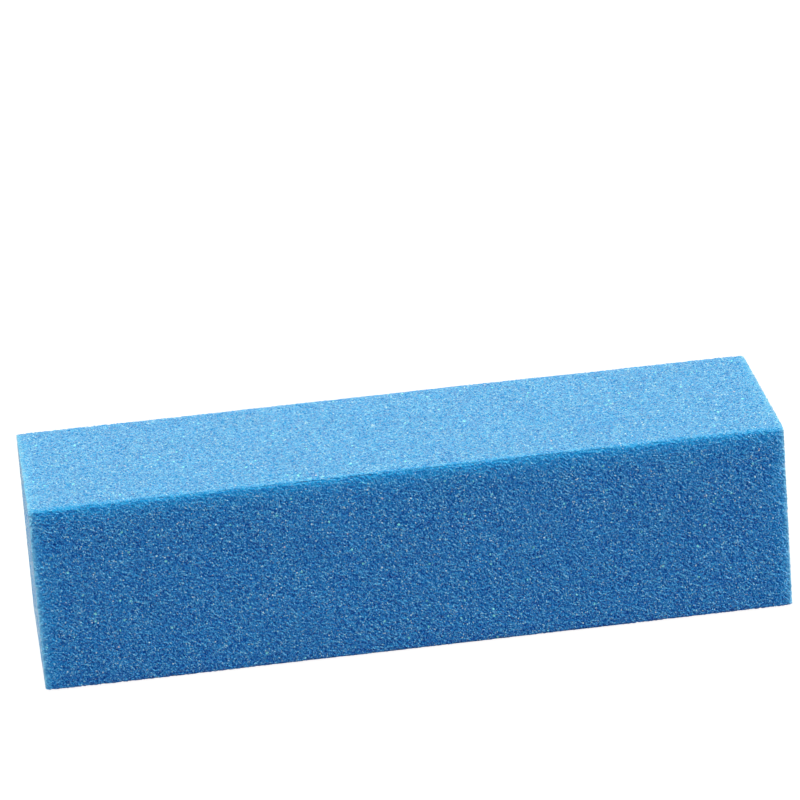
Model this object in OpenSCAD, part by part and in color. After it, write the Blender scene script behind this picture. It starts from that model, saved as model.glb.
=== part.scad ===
// Nail buffer block: a foam bar with abrasive bonded to its four long faces.
// +X runs along the length, +Y to the back and +Z up. The origin is the middle
// of the bottom face. Both ends are cut square, so the layers show there.

/* [Block] */
// Length along X, between the two cut ends
block_length = 95; // [60:1:180]
// Width along Y, over the front and back coatings
block_width = 25; // [16:0.5:50]
// Height along Z, over the bottom and top coatings
block_height = 25; // [16:0.5:50]
// Radius of the four long edges, over the coatings
edge_radius = 0.6; // [0.5:0.1:3]

/* [Coating layers] */
// Thickness of the resin that bonds the grit to the foam
bond_thickness = 0.12; // [0.05:0.01:0.2]
// Thickness of the abrasive grit coat on the resin
grit_thickness = 0.3; // [0.15:0.01:0.4]

/* [Colours] */
// Bare foam, as the cut ends show it
foam_colour = "#6BAEE3";
// Resin under the grit
bond_colour = "#2C6CB4";
// Grit coat
grit_colour = "#3F8FD6";

/* [Hidden] */
$fn = 64;
faces = ["top", "front", "back", "bottom"];

// Depth of each layer's inner side below the block's outside.
bond_depth = grit_thickness;
foam_depth = grit_thickness + bond_thickness;
// Reach of the cutting wedges past the section.
wedge_reach = block_width + block_height;

// Rectangle with rounded corners, in the YZ section of the block (drawn as XY),
// at a given depth below the block's outside.
module section(depth) {
    radius = edge_radius - depth;
    half_width = block_width / 2 - depth;
    half_height = block_height / 2 - depth;
    square([2 * (half_width - radius), 2 * half_height], center = true);
    square([2 * half_width, 2 * (half_height - radius)], center = true);
    for (side = [-1, 1], rise = [-1, 1])
        translate([side * (half_width - radius), rise * (half_height - radius)])
            circle(r = radius);
}

// Part of the section that belongs to one face: a mitre at 45 degrees runs in
// from each corner, so each coat ends half way round the rounded long edge.
module face_wedge(face) {
    half_width = block_width / 2;
    half_height = block_height / 2;
    upright = face == "top" || face == "bottom";
    side = face == "top" || face == "back" ? 1 : -1;
    half_face = upright ? half_width : half_height;
    half_depth = upright ? half_height : half_width;
    outline = [
        [-half_face - wedge_reach, side * (half_depth + wedge_reach)],
        [half_face + wedge_reach, side * (half_depth + wedge_reach)],
        [half_face - edge_radius, side * (half_depth - edge_radius)],
        [-half_face + edge_radius, side * (half_depth - edge_radius)]
    ];
    polygon([for (p = outline) upright ? p : [p[1], p[0]]]);
}

// Runs a YZ section along the whole length of the block.
module along_block() {
    translate([-block_length / 2, 0, block_height / 2])
        rotate([90, 0, 90])
            linear_extrude(block_length)
                children();
}

// One layer of one face, between two depths below the block's outside.
module face_layer(face, outer_depth, inner_depth) {
    along_block()
        intersection() {
            difference() {
                section(outer_depth);
                section(inner_depth);
            }
            face_wedge(face);
        }
}

module foam_core() {
    color(foam_colour)
        along_block()
            section(foam_depth);
}

module resin_bond(face) {
    color(bond_colour)
        face_layer(face, bond_depth, foam_depth);
}

module grit_coat(face) {
    color(grit_colour)
        face_layer(face, 0, bond_depth);
}

module top_resin_bond() resin_bond("top");
module front_resin_bond() resin_bond("front");
module back_resin_bond() resin_bond("back");
module bottom_resin_bond() resin_bond("bottom");

module top_grit_coat() grit_coat("top");
module front_grit_coat() grit_coat("front");
module back_grit_coat() grit_coat("back");
module bottom_grit_coat() grit_coat("bottom");

foam_core();
top_resin_bond();
front_resin_bond();
back_resin_bond();
bottom_resin_bond();
top_grit_coat();
front_grit_coat();
back_grit_coat();
bottom_grit_coat();
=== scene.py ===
import math

import bpy
import numpy as np
from mathutils import Matrix, Vector


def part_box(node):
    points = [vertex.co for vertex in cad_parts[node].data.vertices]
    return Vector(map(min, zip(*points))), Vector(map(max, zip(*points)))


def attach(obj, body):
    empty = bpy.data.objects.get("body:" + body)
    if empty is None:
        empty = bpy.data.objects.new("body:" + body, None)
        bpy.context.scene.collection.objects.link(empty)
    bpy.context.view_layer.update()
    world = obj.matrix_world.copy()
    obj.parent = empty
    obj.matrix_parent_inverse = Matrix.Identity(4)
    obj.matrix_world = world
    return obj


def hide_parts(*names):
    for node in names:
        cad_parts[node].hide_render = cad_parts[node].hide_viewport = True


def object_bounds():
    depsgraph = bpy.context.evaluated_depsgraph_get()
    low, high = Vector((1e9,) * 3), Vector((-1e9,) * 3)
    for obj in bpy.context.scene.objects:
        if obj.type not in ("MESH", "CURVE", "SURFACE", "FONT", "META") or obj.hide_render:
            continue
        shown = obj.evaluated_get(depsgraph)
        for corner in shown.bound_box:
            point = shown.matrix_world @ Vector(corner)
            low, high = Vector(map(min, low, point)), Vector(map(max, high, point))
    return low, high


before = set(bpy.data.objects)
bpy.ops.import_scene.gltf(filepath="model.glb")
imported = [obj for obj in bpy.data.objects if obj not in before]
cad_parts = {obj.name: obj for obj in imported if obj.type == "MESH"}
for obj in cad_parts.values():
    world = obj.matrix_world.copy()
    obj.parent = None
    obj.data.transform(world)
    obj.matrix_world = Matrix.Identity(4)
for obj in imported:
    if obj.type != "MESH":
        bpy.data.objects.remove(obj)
CAD_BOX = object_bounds()

# A nail buffer block: a foam core, and on each long face a layer of resin and a coat of grit.
# Lengths are in metres. A point of the block's YZ section is a complex number, y + 1j * z,
# measured from the section's centre, so a quarter turn is a multiplication by 1j.

MM = 0.001
FACES = ("top", "front", "bottom", "back")  # in quarter turns from the top
SEED = 20


# ---------------------------------------------------------------- sizes read from the frame

BLOCK_LOW, BLOCK_HIGH = CAD_BOX
HALF_LENGTH = (BLOCK_HIGH.x - BLOCK_LOW.x) / 2
HALF_WIDTH = (BLOCK_HIGH.y - BLOCK_LOW.y) / 2
HALF_HEIGHT = (BLOCK_HIGH.z - BLOCK_LOW.z) / 2
CENTRE = (BLOCK_LOW + BLOCK_HIGH) / 2
BOND_DEPTH = BLOCK_HIGH.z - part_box("top_resin_bond")[1].z  # grit coat's thickness
FOAM_DEPTH = BLOCK_HIGH.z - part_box("foam_core")[1].z  # grit coat and resin together
# The top coat ends half way round the long edges, at 45 degrees.
MITRE_SINE = math.sqrt(0.5)
EDGE_RADIUS = (BLOCK_HIGH.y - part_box("top_grit_coat")[1].y) / (1 - MITRE_SINE)


# ---------------------------------------------------------------- mesh resolution

COLUMNS = 600  # grit cells along the length
FLAT_CELLS = 150  # grit cells across the flat of a face
CORNER_CELLS = 3  # grit cells in half of a rounded long edge
FACE_CELLS = FLAT_CELLS + 2 * CORNER_CELLS
RING_CELLS = 4 * FACE_CELLS
FLAT_CELL = 2 * (HALF_WIDTH - EDGE_RADIUS) / FLAT_CELLS
# Distances from a cut end, in millimetres, where the hidden layers have a ring of points.
HIDDEN_STATIONS = [0, 0.1, 0.2, 0.3, 0.45, 0.6, 0.8, 1.1, 1.5, 2, 3, 5, 9, 20]

# ---------------------------------------------------------------- shape of the real surface

GRAIN_RELIEF = 0.16 * MM  # from the deepest pit to the highest grain
GRAIN_SPREAD = 0.8  # how far a grain's height goes with its neighbours'
GRAIN_SLIDE = 0.32  # the most that a grain is off its place in the grid, in cells
SLOW_RELIEF = 0.05 * MM  # slow unevenness of the foam under the coat
SLOW_WAVES = (9, 12)  # along the length, and round the section
# How far the coat sinks towards an edge, as (depth, reach) pairs.
LONG_EDGE_FALLS = [(0.04 * MM, 0.5 * MM), (0.04 * MM, 2 * MM)]
CUT_EDGE_FALLS = [(0.05 * MM, 0.15 * MM), (0.09 * MM, 0.6 * MM)]
# How far the top and the front of each cut end lie inside its foot and its back. -1 is the
# left end. Set so that the outline meets the photo's; the real cuts may be squarer than this.
CUT_LEAN = {-1: 0.05 * MM, 1: 0.49 * MM}
CUT_SKEW = {-1: 0.10 * MM, 1: 0.0}
CUT_WEAR_REACH = 0.3 * MM  # how far from a cut the grit is rubbed whitish
EDGE_HIGHLIGHT_REACH = 1.0 * MM  # how far the painted highlight reaches from the cuts, and from the rounded edges on the side faces
ROUNDING_HIGHLIGHT_REACH = 0.15 * MM  # how far the painted highlight reaches on the top, beyond its rounded edges
FRAY = {"outside": 0.10 * MM, "bond": 0.05 * MM, "foam": 0.03 * MM}
FRAY_WAVE = 6  # points of the ring to one slow wave of the ragged edge
CHIP_SHARE = 0.035  # of the cut edge's points are the middle of a chip
CHIP_FLANK = 0.6  # depth of the points beside a chip's middle, as a share of the middle's
CHIP_DEPTH = 0.22 * MM
CELL_RELIEF = 0.12 * MM  # of the foam's open cells at the cut ends
CAP_RELIEF = 0.10 * MM  # slow unevenness of the foam's cut ends
CAP_WAVES = (5, 5)
LAYER_RIPPLE = 0.05 * MM  # how unevenly the hidden sides of the layers lie


# ---------------------------------------------------------------- the section's ring of points


def face_outline(half_depth, radius, flat_side, flat_depth):
    """Points and outward directions across one face, mitre to mitre, without the last."""
    sine = np.linspace(1, 0, CORNER_CELLS + 1) * MITRE_SINE
    cosine = np.sqrt(1 - sine**2)
    side = np.concatenate(
        [
            flat_side + radius * sine,
            np.linspace(flat_side, -flat_side, FLAT_CELLS + 1)[1:-1],
            -(flat_side + radius * sine[::-1]),
        ]
    )
    depth = np.concatenate(
        [
            flat_depth + radius * cosine,
            np.full(FLAT_CELLS - 1, half_depth),
            flat_depth + radius * cosine[::-1],
        ]
    )
    lean = np.concatenate([sine, np.zeros(FLAT_CELLS - 1), -sine[::-1]])
    return (side + 1j * depth)[:-1], (lean + 1j * np.sqrt(1 - lean**2))[:-1]


def section_ring(depth):
    """The section at a depth below the outside: its points and outward directions."""
    radius = EDGE_RADIUS - depth
    points, directions = [], []
    for turn in range(4):
        half_side, half_depth = (
            (HALF_WIDTH, HALF_HEIGHT) if turn % 2 == 0 else (HALF_HEIGHT, HALF_WIDTH)
        )
        outline, outward = face_outline(
            half_depth - depth, radius, half_side - EDGE_RADIUS, half_depth - EDGE_RADIUS
        )
        points.append(outline * 1j**turn)
        directions.append(outward * 1j**turn)
    return np.concatenate(points), np.concatenate(directions)


def distance_to_rounding():
    """For each point of the ring, its distance along the flat to the nearest rounded edge."""
    from_mitre = np.arange(FACE_CELLS)
    cells = np.minimum(from_mitre, FACE_CELLS - from_mitre) - CORNER_CELLS
    return np.tile(np.maximum(cells, 0) * FLAT_CELL, 4)


# ---------------------------------------------------------------- uneven fields over the skin


def softened(field):
    """Each value mixed with its neighbours. The second axis runs round the block."""
    along = np.pad(field, ((1, 1), (0, 0)), mode="edge")
    field = 0.25 * along[:-2] + 0.5 * along[1:-1] + 0.25 * along[2:]
    return 0.25 * np.roll(field, 1, 1) + 0.5 * field + 0.25 * np.roll(field, -1, 1)


def slow_noise(random, shape, cells, wraps=True):
    """Smooth noise from 0 to 1 over a grid, with the given count of waves on each axis."""
    coarse = random.random((cells[0] + 1, cells[1] + (0 if wraps else 1)))
    if wraps:
        coarse = np.concatenate([coarse, coarse[:, :1]], 1)
    for axis in (0, 1):
        place = np.linspace(0, cells[axis], shape[axis], endpoint=axis == 0 or not wraps)
        low = np.minimum(place.astype(int), cells[axis] - 1)
        part = place - low
        part = part * part * (3 - 2 * part)
        part = part[:, None] if axis == 0 else part[None, :]
        first, second = np.take(coarse, low, axis), np.take(coarse, low + 1, axis)
        coarse = first * (1 - part) + second * part
    return coarse


def even_spread(field):
    """The same field with its values spread evenly from 0 to 1."""
    order = np.argsort(np.argsort(field, axis=None))
    return (order / (field.size - 1)).reshape(field.shape)


def edge_fall(from_end, from_rounding):
    """How far the block's outside lies below its box, near the cut ends and long edges."""
    fall = 0
    for falls, distance in ((LONG_EDGE_FALLS, from_rounding), (CUT_EDGE_FALLS, from_end)):
        for depth, reach in falls:
            fall = fall + depth * np.exp(-distance / reach)
    return fall


def cut_slant(side, y, z):
    """How far a cut end lies inside the box at a place in the section, from its centre."""
    return CUT_LEAN[side] * (1 + z / HALF_HEIGHT) / 2 + CUT_SKEW[side] * (1 - y / HALF_WIDTH) / 2


class Skin:
    """The block's outside as a grid: columns along the length, and points round the section."""

    def __init__(self):
        random = np.random.default_rng(SEED)
        shape = (COLUMNS + 1, RING_CELLS)
        self.x = np.linspace(-HALF_LENGTH, HALF_LENGTH, COLUMNS + 1)
        rough = random.standard_normal(shape)
        near = softened(random.standard_normal(shape))
        self.grain = even_spread(rough + GRAIN_SPREAD * near)
        self.slow = slow_noise(random, shape, SLOW_WAVES)
        self.slide_x = random.uniform(-GRAIN_SLIDE, GRAIN_SLIDE, shape)
        self.slide_ring = random.uniform(-GRAIN_SLIDE, GRAIN_SLIDE, shape)
        self.from_rounding = distance_to_rounding()
        self.fray = {side: self.cut_line(random) for side in (-1, 1)}
        self.ripple = {level: random.random(RING_CELLS) for level in ("bond", "foam")}

    def cut_line(self, random):
        """How ragged and how chipped a cut edge is at each point of the ring, from 0 to 1."""
        fast = random.random(RING_CELLS)
        slow = slow_noise(random, (2, RING_CELLS), (1, RING_CELLS // FRAY_WAVE))[0]
        chips = (random.random(RING_CELLS) < CHIP_SHARE).astype(float)
        flanks = CHIP_FLANK * np.maximum(np.roll(chips, 1), np.roll(chips, -1))
        return 0.7 * fast + 0.3 * slow, np.maximum(chips, flanks)

    def end_inset(self, side, level):
        """How far inside the box the cut lies, for the outside, the bond's or the foam's ring."""
        ragged, chips = self.fray[side]
        inset = FRAY[level] * ragged
        if level == "outside":
            inset = inset + CHIP_DEPTH * chips
        ring = section_ring(0)[0]
        return inset + cut_slant(side, ring.real, ring.imag)


# ---------------------------------------------------------------- meshes


def rings_of_points(stations, depth, sink, skin, level, slid=False):
    """A grid of points: one ring of the section at each station from the left cut end.

    depth is the layer's depth and sink is how far below it each point lies. The grains of
    the outside are also slid off the even grid, along the block and round it."""
    points, outward = section_ring(depth)
    section = points[None, :] - outward[None, :] * sink
    if slid:
        section = section + 1j * outward[None, :] * skin.slide_ring * FLAT_CELL
    left = -HALF_LENGTH + skin.end_inset(-1, level)
    right = HALF_LENGTH - skin.end_inset(1, level)
    share = ((stations + HALF_LENGTH) / (2 * HALF_LENGTH))[:, None]
    if slid:
        slide = skin.slide_x / COLUMNS
        slide[0] = slide[-1] = 0
        share = share + slide
    x = left[None, :] * (1 - share) + right[None, :] * share
    return np.stack([x, section.real + CENTRE.y, section.imag + CENTRE.z], axis=2)


def hidden_stations():
    """Places along X of the hidden layers' rings, close together near the cut ends."""
    near = np.array(HIDDEN_STATIONS) * MM
    return np.concatenate([-HALF_LENGTH + near, HALF_LENGTH - near[::-1]])


def sink_at(stations, skin):
    """The soft fall of every layer towards the cut ends and long edges."""
    from_end = (HALF_LENGTH - np.abs(stations))[:, None]
    return edge_fall(from_end, skin.from_rounding[None, :])


def slow_at(stations, skin):
    """The slow unevenness of the outside, taken at the given places along X."""
    rows = np.round((stations + HALF_LENGTH) / (2 * HALF_LENGTH) * COLUMNS).astype(int)
    return SLOW_RELIEF * skin.slow[rows]


def inner_rings(depth, skin, level):
    stations = hidden_stations()
    sink = sink_at(stations, skin) + slow_at(stations, skin) + LAYER_RIPPLE * skin.ripple[level]
    return rings_of_points(stations, depth, sink, skin, level)


def outer_rings(skin):
    sink = sink_at(skin.x, skin) + SLOW_RELIEF * skin.slow + GRAIN_RELIEF * (1 - skin.grain)
    return rings_of_points(skin.x, 0, sink, skin, "outside", slid=True)


def grid_quads(ids, flip=False):
    """Quads over a grid of vertex numbers, facing out where rows run along X and columns
    run round the section."""
    quads = np.stack([ids[:-1, :-1], ids[:-1, 1:], ids[1:, 1:], ids[1:, :-1]], axis=2)
    quads = quads.reshape(-1, 4)
    return quads[:, ::-1] if flip else quads


def stitched(upper, upper_x, lower, lower_x, flip):
    """Triangles between two lines of vertices that run the same way along X."""
    faces, i, j = [], 0, 0
    while i < len(upper) - 1 or j < len(lower) - 1:
        if j == len(lower) - 1 or (i < len(upper) - 1 and upper_x[i + 1] <= lower_x[j + 1]):
            face = (upper[i], upper[i + 1], lower[j])
            i += 1
        else:
            face = (upper[i], lower[j + 1], lower[j])
            j += 1
        faces.append(face[::-1] if flip else face)
    return faces


def new_piece(name, points, quads, triangles=(), smooth=True):
    """A mesh object from an array of points, an array of quads and a list of triangles."""
    mesh = bpy.data.meshes.new(name)
    corners = np.concatenate([np.asarray(quads, int).ravel(), np.asarray(triangles, int).ravel()])
    sizes = np.concatenate([np.full(len(quads), 4), np.full(len(triangles), 3)])
    mesh.vertices.add(len(points))
    mesh.vertices.foreach_set("co", np.asarray(points, np.float32).ravel())
    mesh.loops.add(len(corners))
    mesh.loops.foreach_set("vertex_index", corners.astype(np.int32))
    mesh.polygons.add(len(sizes))
    mesh.polygons.foreach_set("loop_start", (np.cumsum(sizes) - sizes).astype(np.int32))
    mesh.polygons.foreach_set("use_smooth", np.full(len(sizes), smooth))
    mesh.update(calc_edges=True)
    mesh.validate()
    piece = bpy.data.objects.new(name, mesh)
    bpy.context.scene.collection.objects.link(piece)
    return piece


def add_attribute(piece, name, values, domain="POINT"):
    attribute = piece.data.attributes.new(name, "FLOAT", domain)
    attribute.data.foreach_set("value", np.asarray(values, np.float32))


def face_columns(turn):
    """The ring's columns that one face takes, mitre to mitre."""
    return (turn * FACE_CELLS + np.arange(FACE_CELLS + 1)) % RING_CELLS


def wear_and_highlight_fields(skin, columns):
    """How worn each point of a coat's outside is near the cuts, and how much painted highlight it
    takes, each from 0 to 1.

    The painted highlight is light painted into the colour. It runs along the upper long edges,
    where the top light catches their rounding, and further down the side faces than across the
    top. It also runs along the cut ends, where the side lights catch the rolled ends. The top and
    bottom take only a little wear and highlight near the cuts."""
    from_cut = (HALF_LENGTH - np.abs(skin.x))[:, None]
    from_rounding = skin.from_rounding[None, columns]
    points, outward = section_ring(0)
    lean = outward[None, columns]
    side = np.abs(lean.real) > np.abs(lean.imag)
    upper = (points.imag > 0)[None, columns]
    reach = np.where(side, EDGE_HIGHLIGHT_REACH, ROUNDING_HIGHLIGHT_REACH)
    by_cut = np.where(side, 1, 0.4) * np.exp(-from_cut / CUT_WEAR_REACH)
    # painted highlight: lighter near the cuts and along the upper long edges, where the lights
    # catch them
    by_edge = np.maximum(
        np.where(side, 1, 0.35) * np.exp(-from_cut / EDGE_HIGHLIGHT_REACH),
        np.where(side, 0.9, 0.5) * upper * np.exp(-from_rounding / reach),
    )
    return {"cut_wear": by_cut, "painted_edge_highlight": by_edge}


def layer_piece(name, turn, outer, inner, skin=None):
    """A closed thin layer on one face, between an outer and an inner grid of points."""
    columns = face_columns(turn)
    outer, inner = outer[:, columns], inner[:, columns]
    points = np.concatenate([outer.reshape(-1, 3), inner.reshape(-1, 3)])
    outer_ids = np.arange(outer.shape[0] * outer.shape[1]).reshape(outer.shape[:2])
    inner_ids = np.arange(inner.shape[0] * inner.shape[1]).reshape(inner.shape[:2])
    inner_ids = inner_ids + outer_ids.size
    skin_quads = grid_quads(outer_ids)
    back_quads = grid_quads(inner_ids, flip=True)
    cut_quads = np.concatenate(
        [
            grid_quads(np.stack([inner_ids[0], outer_ids[0]])),
            grid_quads(np.stack([outer_ids[-1], inner_ids[-1]])),
        ]
    )
    mitres = []
    for edge, flip in ((0, False), (-1, True)):
        mitres += stitched(
            outer_ids[:, edge], outer[:, edge, 0], inner_ids[:, edge], inner[:, edge, 0], flip
        )
    quads = np.concatenate([skin_quads, back_quads, cut_quads])
    piece = new_piece(name, points, quads, mitres, smooth=False)
    if skin is not None:
        values = np.concatenate([skin.grain[:, columns].ravel(), np.full(inner_ids.size, 0.5)])
        add_attribute(piece, "grain_height", values)
        # the cut wear and the painted edge highlight
        for field, wear_and_highlight in wear_and_highlight_fields(skin, columns).items():
            add_attribute(piece, field, np.concatenate([wear_and_highlight.ravel(), np.zeros(inner_ids.size)]))
        tones = np.random.default_rng(SEED + 10 + turn).random(len(quads) + len(mitres))
        add_attribute(piece, "grain_tone", tones, "FACE")
    cut = np.zeros(len(quads) + len(mitres))
    first = len(skin_quads) + len(back_quads)
    cut[first : first + len(cut_quads)] = 1
    add_attribute(piece, "cut_face", cut, "FACE")
    return piece


def cap_places(depth):
    """The foam's cut end as a square grid of (y, z) whose outline is the section's ring."""
    radius = EDGE_RADIUS - depth
    corner = np.linspace(1, 0, CORNER_CELLS + 1)
    middle = np.zeros(FLAT_CELLS - 1)
    share = np.concatenate([corner, middle, -corner[::-1]])
    flat = np.concatenate(
        [
            np.ones(CORNER_CELLS + 1),
            np.linspace(1, -1, FLAT_CELLS + 1)[1:-1],
            -np.ones(CORNER_CELLS + 1),
        ]
    )
    across, up = np.meshgrid(share, share, indexing="ij")
    y = flat[:, None] * (HALF_WIDTH - EDGE_RADIUS) + radius * across * np.sqrt(1 - up**2 / 2)
    z = flat[None, :] * (HALF_HEIGHT - EDGE_RADIUS) + radius * up * np.sqrt(1 - across**2 / 2)
    return y, z


def foam_piece(name, skin):
    """The foam bar: its long sides under the coats, and its two cut ends with open cells."""
    random = np.random.default_rng(SEED + 1)
    sides = inner_rings(FOAM_DEPTH, skin, "foam")
    side_ids = np.arange(sides.shape[0] * RING_CELLS).reshape(sides.shape[:2])
    wrapped = np.concatenate([side_ids, side_ids[:, :1]], 1)
    points = [sides.reshape(-1, 3)]
    quads = [grid_quads(wrapped)]
    cells = [np.full(side_ids.size, 0.5)]
    count = side_ids.size
    y, z = cap_places(FOAM_DEPTH)
    size = FACE_CELLS + 1
    for side in (-1, 1):
        ring = side_ids[0 if side < 0 else -1]
        rough = random.standard_normal((size, size))
        cell = even_spread(rough + softened(random.standard_normal((size, size))))
        slow = slow_noise(random, (size, size), CAP_WAVES, wraps=False)
        inset = CELL_RELIEF * (1 - cell) + CAP_RELIEF * slow + cut_slant(side, y, z)
        # The outline follows the ring of the sides, which the fall at the cut edge draws in.
        pull = outline_pull(y, sides[0 if side < 0 else -1])
        cap = np.stack(
            [side * (HALF_LENGTH - inset), y * pull + CENTRE.y, z * pull + CENTRE.z], axis=2
        )
        ids = np.full((size, size), -1)
        inner = np.arange((size - 2) ** 2).reshape(size - 2, size - 2) + count
        ids[1:-1, 1:-1] = inner
        place_outline(ids, ring)
        count += inner.size
        points.append(cap[1:-1, 1:-1].reshape(-1, 3))
        cells.append(cell[1:-1, 1:-1].ravel())
        quads.append(grid_quads(ids, flip=side > 0))
    piece = new_piece(name, np.concatenate(points), np.concatenate(quads), smooth=True)
    add_attribute(piece, "cell_height", np.concatenate(cells))
    return piece


def outline_pull(y, ring_points):
    """How much the cap's grid shrinks so that it meets the drawn-in ring."""
    ring_half = np.abs(ring_points[:, 1] - CENTRE.y).max()
    return ring_half / np.abs(y).max()


def place_outline(ids, ring):
    """Writes the ring's vertex numbers round the outline of a cap's grid."""
    n = ids.shape[0] - 1
    # Ring order: the top from +y to -y, the front from +z to -z, the bottom, and the back.
    ids[:, 0] = ring[face_columns(0)]
    ids[-1, :] = ring[face_columns(1)]
    ids[::-1, n] = ring[face_columns(2)]
    ids[0, ::-1] = ring[face_columns(3)]


# ---------------------------------------------------------------- materials


class Nodes:
    """Short calls for building a node material."""

    def __init__(self, name):
        self.material = bpy.data.materials.new(name)
        self.material.use_nodes = True
        self.tree = self.material.node_tree
        self.shader = self.tree.nodes["Principled BSDF"]
        place = self.tree.nodes.new("ShaderNodeTexCoord")
        self.place = place.outputs["Object"]

    def feed(self, socket, value):
        if isinstance(value, bpy.types.NodeSocket):
            self.tree.links.new(value, socket)
        else:
            socket.default_value = value

    def attribute(self, name):
        node = self.tree.nodes.new("ShaderNodeAttribute")
        node.attribute_name = name
        return node.outputs["Fac"]

    def math(self, operation, first, second):
        node = self.tree.nodes.new("ShaderNodeMath")
        node.operation = operation
        self.feed(node.inputs[0], first)
        self.feed(node.inputs[1], second)
        return node.outputs[0]

    def mix(self, factor, first, second, blend="MIX"):
        node = self.tree.nodes.new("ShaderNodeMix")
        node.data_type = "RGBA"
        node.blend_type = blend
        self.feed(node.inputs["Factor"], factor)
        self.feed(node.inputs[6], first)
        self.feed(node.inputs[7], second)
        return node.outputs[2]

    def noise(self, wavelength, detail=2.0):
        node = self.tree.nodes.new("ShaderNodeTexNoise")
        node.inputs["Scale"].default_value = 1 / wavelength
        node.inputs["Detail"].default_value = detail
        self.feed(node.inputs["Vector"], self.place)
        return node.outputs["Fac"]

    def cells(self, pitch, feature="F1"):
        node = self.tree.nodes.new("ShaderNodeTexVoronoi")
        node.feature = feature
        node.inputs["Scale"].default_value = 1 / pitch
        self.feed(node.inputs["Vector"], self.place)
        return node

    def weighed(self, *terms):
        """The sum of (value, weight) terms."""
        total = 0.0
        for value, weight in terms:
            node = self.tree.nodes.new("ShaderNodeMath")
            node.operation = "MULTIPLY_ADD"
            self.feed(node.inputs[0], value)
            node.inputs[1].default_value = weight
            self.feed(node.inputs[2], total)
            total = node.outputs[0]
        return total

    def parts(self, colour):
        node = self.tree.nodes.new("ShaderNodeSeparateColor")
        self.feed(node.inputs[0], colour)
        return node.outputs

    def grey(self, value):
        node = self.tree.nodes.new("ShaderNodeCombineColor")
        for socket in node.inputs:
            self.feed(socket, value)
        return node.outputs[0]

    def ramp(self, factor, stops):
        node = self.tree.nodes.new("ShaderNodeValToRGB")
        self.feed(node.inputs[0], factor)
        elements = node.color_ramp.elements
        while len(elements) < len(stops):
            elements.new(0.5)
        for element, (place, colour) in zip(elements, stops):
            element.position = place
            element.color = (*colour, 1)
        return node.outputs["Color"]

    def above(self, value, limit):
        return self.math("GREATER_THAN", value, limit)

    def bump(self, height, depth, strength=1.0):
        node = self.tree.nodes.new("ShaderNodeBump")
        node.inputs["Strength"].default_value = strength
        node.inputs["Distance"].default_value = depth
        self.feed(node.inputs["Height"], height)
        self.feed(self.shader.inputs["Normal"], node.outputs["Normal"])

    def set(self, values):
        for name, value in values.items():
            self.feed(self.shader.inputs[name], value)


GRAIN_PITCH = 0.18 * MM
FINE_PITCH = 0.10 * MM
# What each field adds to a grain's place in GRIT_STOPS. The last term adds the painted edge
# highlight.
# The height term makes the pits darker and the grain tips paler: painted shade and painted light
# on the grain relief.
GRIT_WEIGHTS = {"height": 0.21, "tone": 0.24, "fine": 0.57, "wear_and_highlight": 0.09}
GRIT_SHIFT = -0.01
# Linear colours of the grit coat, from its pits to its palest grains.
GRIT_STOPS = [
    (0.0, (0.000, 0.026, 0.220)),
    (0.3, (0.000, 0.103, 0.490)),
    (0.55, (0.010, 0.240, 0.745)),
    (0.8, (0.120, 0.465, 0.900)),
    (1.0, (0.540, 0.810, 0.970)),
]
# Odd grains and painted glints: how rare they are (the share left out), their pitch and their
# colour.
FLECKS = [
    (0.960, 0.15 * MM, (0.42, 0.70, 0.84, 1)),
    (0.992, 0.19 * MM, (0.66, 0.84, 0.92, 1)),
    # painted glints: cyan dots standing in for crystals that catch the light
    (0.9955, 0.32 * MM, (0.27, 0.94, 1.00, 1)),
    (0.9997, 0.22 * MM, (0.80, 0.60, 0.64, 1)),
]
FLECK_REACH = 0.5  # how far a fleck reaches from its middle, in pitches
MOTTLE_PITCH = 6 * MM
MOTTLE_LOW, MOTTLE_RISE = 0.92, 0.16  # the mottle's darkest tone, and its range above that
# The coat's colour where each of these fields is 1, and how much of that colour it takes.
WEAR_AND_HIGHLIGHT_LOOKS = {
    "painted_edge_highlight": (0.78, (0.00, 0.345, 1.00, 1)),  # painted highlight, a lighter and clearer blue, on the upper long edges and near the cuts
    "cut_wear": (0.75, (0.32, 0.77, 1.00, 1)),  # rubbed whitish
    "cut_face": (0.80, (0.24, 0.46, 0.72, 1)),  # resin, cut through
}
GRIT_BUMP_PITCH, GRIT_BUMP_DEPTH = 0.14 * MM, 0.12 * MM


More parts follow.
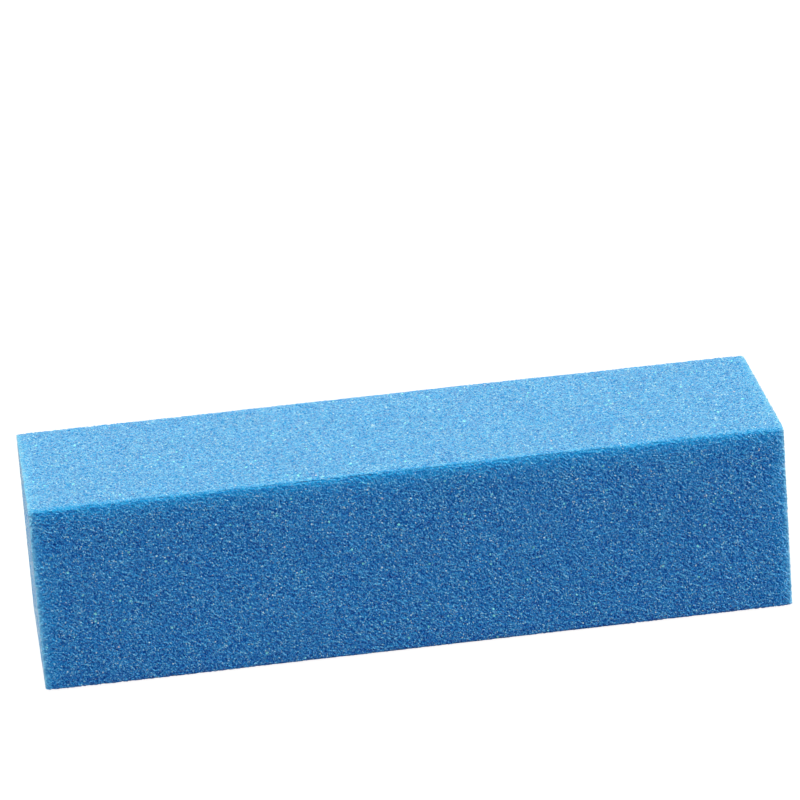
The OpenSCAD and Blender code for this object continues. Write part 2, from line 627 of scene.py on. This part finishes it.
def grit_material():
    make = Nodes("blue_grit")
    gloss = make.parts(make.cells(GRAIN_PITCH).outputs["Color"])[1]
    fields = {
        # painted shade in the pits and painted light on the grain tips
        "height": make.attribute("grain_height"),
        "tone": make.attribute("grain_tone"),
        "fine": make.parts(make.cells(FINE_PITCH).outputs["Color"])[2],
        # painted edge highlight, which pushes the colour up the ramp
        "wear_and_highlight": make.attribute("painted_edge_highlight"),
    }
    terms = [(fields[name], weight) for name, weight in GRIT_WEIGHTS.items()]
    colour = make.ramp(make.weighed(*terms, (1.0, GRIT_SHIFT)), GRIT_STOPS)
    for limit, pitch, shade in FLECKS:
        flecks = make.cells(pitch)
        chosen = make.above(make.parts(flecks.outputs["Color"])[0], limit)
        compact = make.math("LESS_THAN", flecks.outputs["Distance"], FLECK_REACH)
        colour = make.mix(make.math("MULTIPLY", chosen, compact), colour, shade)
    mottle = make.weighed((make.noise(MOTTLE_PITCH), MOTTLE_RISE), (1.0, MOTTLE_LOW))
    colour = make.mix(1.0, colour, make.grey(mottle), "MULTIPLY")
    # wear near the cuts, the painted edge highlight and the cut resin
    for field, (share, shade) in WEAR_AND_HIGHLIGHT_LOOKS.items():
        colour = make.mix(make.math("MULTIPLY", make.attribute(field), share), colour, shade)
    make.set(
        {
            "Base Color": colour,
            "Roughness": make.weighed((gloss, -0.3), (1.0, 0.6)),
            "Specular IOR Level": 0.22,
            "Sheen Weight": 0.48,
            "Sheen Roughness": 0.35,
        }
    )
    make.bump(make.noise(GRIT_BUMP_PITCH), GRIT_BUMP_DEPTH)
    return make.material


FOAM_STOPS = [
    (0.0, (0.000, 0.090, 0.360)),
    (0.35, (0.002, 0.190, 0.600)),
    (0.65, (0.012, 0.290, 0.760)),
    (1.0, (0.120, 0.470, 0.900)),
]

# The foam's colour is darker deep in its cells and paler on their walls: painted shade in the open
# cells.
FOAM_CELL = 0.3 * MM
FOAM_WALL_FALL = 1.6  # how fast a cell's wall falls off into the cell
FOAM_HEIGHT_SHARE = 0.55  # of the foam's tone comes from its height, the rest from its walls
FOAM_BUMP_DEPTH = 0.08 * MM


def foam_material():
    make = Nodes("blue_foam")
    from_wall = make.cells(FOAM_CELL, "DISTANCE_TO_EDGE").outputs["Distance"]
    wall = make.weighed((from_wall, -FOAM_WALL_FALL), (1.0, 1.0))
    height = make.attribute("cell_height")
    # painted shade: deeper places and the middles of cells come out darker
    weight = make.weighed((height, FOAM_HEIGHT_SHARE), (wall, 1 - FOAM_HEIGHT_SHARE))
    make.set(
        {
            "Base Color": make.ramp(weight, FOAM_STOPS),
            "Roughness": 0.4,
            "Sheen Weight": 0.9,
            "Sheen Roughness": 0.22,
            "Specular IOR Level": 0.3,
        }
    )
    make.bump(wall, FOAM_BUMP_DEPTH)
    return make.material


RESIN_STOPS = [(0.3, (0.02, 0.16, 0.46)), (0.7, (0.06, 0.28, 0.64))]
RESIN_MOTTLE_PITCH = 0.4 * MM
RESIN_BUMP_PITCH, RESIN_BUMP_DEPTH = 0.15 * MM, 0.03 * MM


def resin_material():
    make = Nodes("blue_resin")
    colour = make.ramp(make.noise(RESIN_MOTTLE_PITCH, detail=3.0), RESIN_STOPS)
    make.set({"Base Color": colour, "Roughness": 0.4})
    make.bump(make.noise(RESIN_BUMP_PITCH), RESIN_BUMP_DEPTH, strength=0.5)
    return make.material


# ---------------------------------------------------------------- the block


def build_block():
    skin = Skin()
    grit, resin, foam = grit_material(), resin_material(), foam_material()
    outside = outer_rings(skin)
    under_grit = inner_rings(BOND_DEPTH, skin, "bond")
    under_resin = inner_rings(FOAM_DEPTH, skin, "foam")
    for turn, face in enumerate(FACES):
        node = f"{face}_grit_coat"
        coat = layer_piece(f"{face}_grit", turn, outside, under_grit, skin)
        finish_piece(coat, node, grit)
        node = f"{face}_resin_bond"
        bond = layer_piece(f"{face}_resin", turn, under_grit, under_resin)
        finish_piece(bond, node, resin)
    core = foam_piece("foam_bar", skin)
    finish_piece(core, "foam_core", foam)


def finish_piece(piece, node, material):
    piece.data.materials.append(material)
    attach(piece, "root")
    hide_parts(node)


build_block()


# ---------------------------------------------------------------- floor, light and camera

STUDIO_HALF = 3.0  # metres from the block to each wall of the backdrop
BACKDROP_HEIGHT = 2.5
STUDIO_GREY = 0.12
STUDIO_GLOW = 0.93


def build_studio():
    """A white floor and four white walls, which the block neither mirrors nor takes light from."""
    make = Nodes("white_studio")
    make.set(
        {
            "Base Color": (STUDIO_GREY, STUDIO_GREY, STUDIO_GREY, 1),
            "Roughness": 0.9,
            "Emission Color": (1, 1, 1, 1),
            "Emission Strength": STUDIO_GLOW,
        }
    )
    corners = [(x * STUDIO_HALF, y * STUDIO_HALF) for x, y in ((-1, -1), (1, -1), (1, 1), (-1, 1))]
    points = [(x, y, z) for z in (0, BACKDROP_HEIGHT) for x, y in corners]
    floor = new_piece("floor", np.array(points[:4], float), np.array([[0, 1, 2, 3]]))
    walls = [[k, k + 4, (k + 1) % 4 + 4, (k + 1) % 4] for k in range(4)]
    backdrop = new_piece("backdrop", np.array(points, float), np.array(walls))
    backdrop.visible_shadow = False
    for piece in (floor, backdrop):
        piece.data.materials.append(make.material)
        piece.visible_diffuse = False
        piece.visible_glossy = False


LIGHT_AIM = Vector((0, 0, 0.012))  # near the block's middle


def soft_light(name, place, size, power, colour):
    data = bpy.data.lights.new(name, "AREA")
    data.shape = "RECTANGLE"
    data.size, data.size_y = size
    data.energy = power
    data.color = colour
    lamp = bpy.data.objects.new(name, data)
    bpy.context.scene.collection.objects.link(lamp)
    lamp.location = place
    lamp.rotation_mode = "QUATERNION"
    lamp.rotation_quaternion = (LIGHT_AIM - Vector(place)).to_track_quat("-Z", "Y")


# Background colour by the rise of the direction: -1 is straight down, 0 is the horizon.
WORLD_STOPS = [
    (-0.1, (0.11, 0.18, 0.36)),
    (-0.02, (0.66, 0.80, 0.97)),
    (0.12, (0.66, 0.80, 0.97)),
    (0.3, (0.20, 0.21, 0.23)),
]


WORLD_STRENGTH = 0.45
# Each light's place and size in metres, its power in watts and its colour.
SOFT_LIGHTS = {
    "top_softbox": ((0, -0.10, 0.75), (0.9, 0.35), 7.65, (0.90, 0.98, 0.665)),
    "left_softbox": ((-0.8, -0.07, 0.18), (0.4, 0.3), 3.3, (0.90, 0.95, 1.0)),
    "right_softbox": ((0.8, -0.07, 0.18), (0.4, 0.3), 5.7, (0.82, 0.92, 1.0)),
    "back_softbox": ((0, 0.35, 0.22), (0.7, 0.25), 1.0, (0.92, 0.99, 0.82)),
}


def build_world():
    """A sky whose colour goes by the rise of the direction."""
    world = bpy.data.worlds.new("studio")
    bpy.context.scene.world = world
    world.use_nodes = True
    tree = world.node_tree
    background = tree.nodes["Background"]
    place = tree.nodes.new("ShaderNodeTexCoord")
    axes = tree.nodes.new("ShaderNodeSeparateXYZ")
    ramp = tree.nodes.new("ShaderNodeValToRGB")
    elements = ramp.color_ramp.elements
    while len(elements) < len(WORLD_STOPS):
        elements.new(0.5)
    for element, (rise, colour) in zip(elements, WORLD_STOPS):
        element.position = (rise + 1) / 2
        element.color = (*colour, 1)
    halved = tree.nodes.new("ShaderNodeMath")  # from -1..1 to 0..1
    halved.operation = "MULTIPLY_ADD"
    halved.inputs[1].default_value = halved.inputs[2].default_value = 0.5
    tree.links.new(place.outputs["Generated"], axes.inputs[0])
    tree.links.new(axes.outputs["Z"], halved.inputs[0])
    tree.links.new(halved.outputs[0], ramp.inputs[0])
    tree.links.new(ramp.outputs["Color"], background.inputs["Color"])
    background.inputs["Strength"].default_value = WORLD_STRENGTH


def build_light():
    build_world()
    for name, (place, size, power, colour) in SOFT_LIGHTS.items():
        soft_light(name, place, size, power, colour)


CAMERA_AZIMUTH = math.radians(-6.307)  # 0 looks along +Y
CAMERA_ELEVATION = math.radians(23.037)
CAMERA_ROLL = math.radians(-3.769)
CAMERA_AIM = Vector((0.00061, 0, 0.02893))
CAMERA_DISTANCE = 0.54485
CAMERA_LENS = 195.3  # mm
CAMERA_SENSOR = 36  # mm


def build_camera():
    data = bpy.data.cameras.new("camera")
    data.lens = CAMERA_LENS
    data.sensor_width = CAMERA_SENSOR
    data.clip_start, data.clip_end = 0.01, 50
    camera = bpy.data.objects.new("camera", data)
    bpy.context.scene.collection.objects.link(camera)
    back = Vector(
        (
            math.sin(CAMERA_AZIMUTH) * math.cos(CAMERA_ELEVATION),
            -math.cos(CAMERA_AZIMUTH) * math.cos(CAMERA_ELEVATION),
            math.sin(CAMERA_ELEVATION),
        )
    )
    camera.location = CAMERA_AIM + back * CAMERA_DISTANCE
    turn = (-back).to_track_quat("-Z", "Y").to_matrix().to_4x4()
    camera.rotation_mode = "QUATERNION"
    camera.rotation_quaternion = (turn @ Matrix.Rotation(CAMERA_ROLL, 4, "Z")).to_quaternion()
    bpy.context.scene.camera = camera


# The camera's tone curve, as (light, tone): it lifts the shades and presses the bright end.
TONE_POINTS = [(0, 0), (0.1, 0.16), (0.2, 0.30), (0.35, 0.47), (0.6, 0.72), (1, 1)]


def set_tones():
    view = bpy.context.scene.view_settings
    view.view_transform = "Standard"
    view.use_curve_mapping = True
    curve = view.curve_mapping.curves[3]
    curve.points[0].location, curve.points[-1].location = TONE_POINTS[0], TONE_POINTS[-1]
    for light, tone in TONE_POINTS[1:-1]:
        curve.points.new(light, tone)
    view.curve_mapping.update()


build_studio()
build_light()
build_camera()
set_tones()
